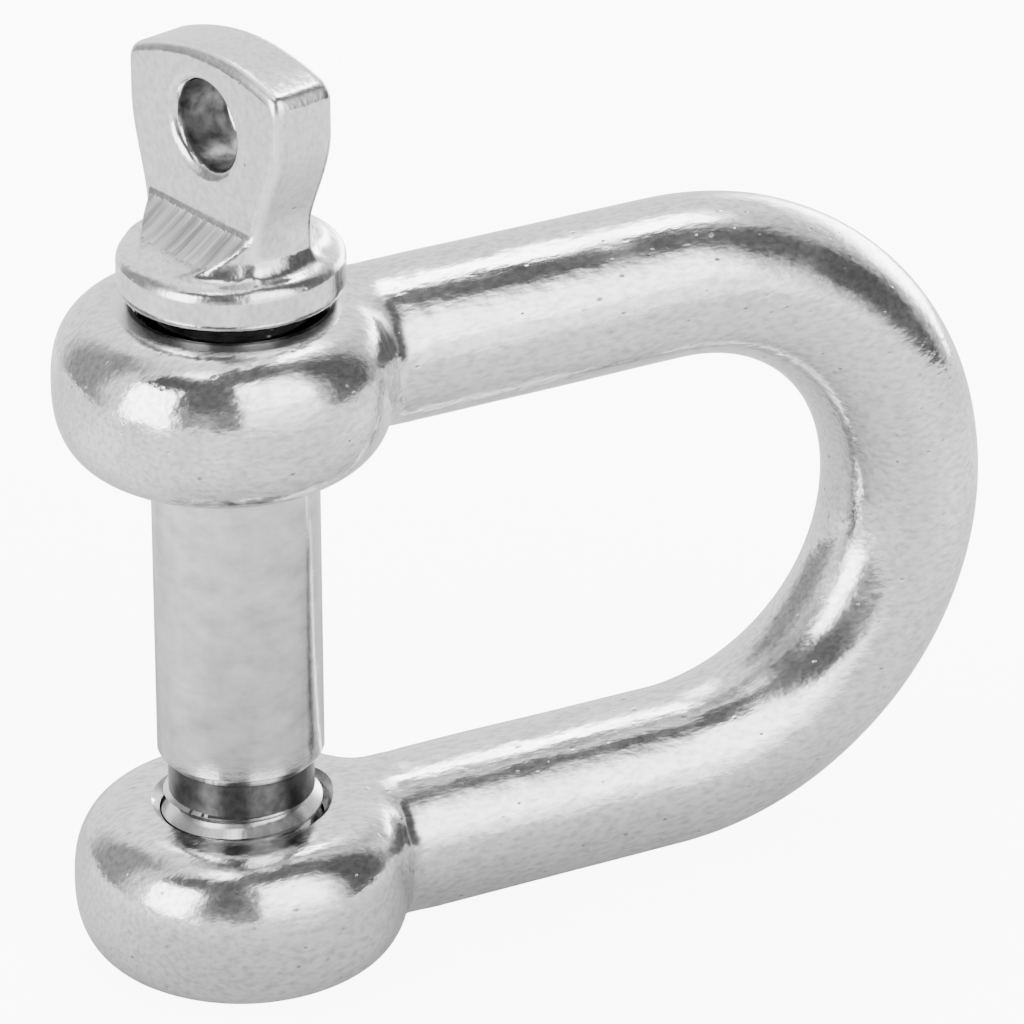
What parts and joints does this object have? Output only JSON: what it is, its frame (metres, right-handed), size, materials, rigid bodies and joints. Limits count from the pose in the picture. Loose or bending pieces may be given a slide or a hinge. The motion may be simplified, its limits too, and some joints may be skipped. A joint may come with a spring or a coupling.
{
  "type": "screw-pin dee shackle",
  "caption": "Polished stainless dee shackle: a round bar bent into a straight-legged loop with an eye at each end, closed by a screw pin with a flat eye head.",
  "frame": {"origin": "on the screw pin's axis, midway between the two eyes", "axes": "+Z along the pin's axis towards its head, +X from the pin towards the bow, Y across the shackle"},
  "size_m": [0.0486, 0.0162, 0.0476],
  "materials": {
    "polished_body": "cast 316 stainless steel, ground and buffed to a mirror",
    "polished_pin": "turned 316 stainless steel, satin shank and buffed head"
  },
  "bodies": {
    "shackle": {"shackle_body": "polished_body"},
    "pin": {"screw_pin": "polished_pin"}
  },
  "joints": [
    {"name": "pin_withdraw", "type": "slide", "parent": "shackle", "child": "pin", "axis": [0, 0, 1], "range_m": [-0.0006, 0.05]}
  ]
}
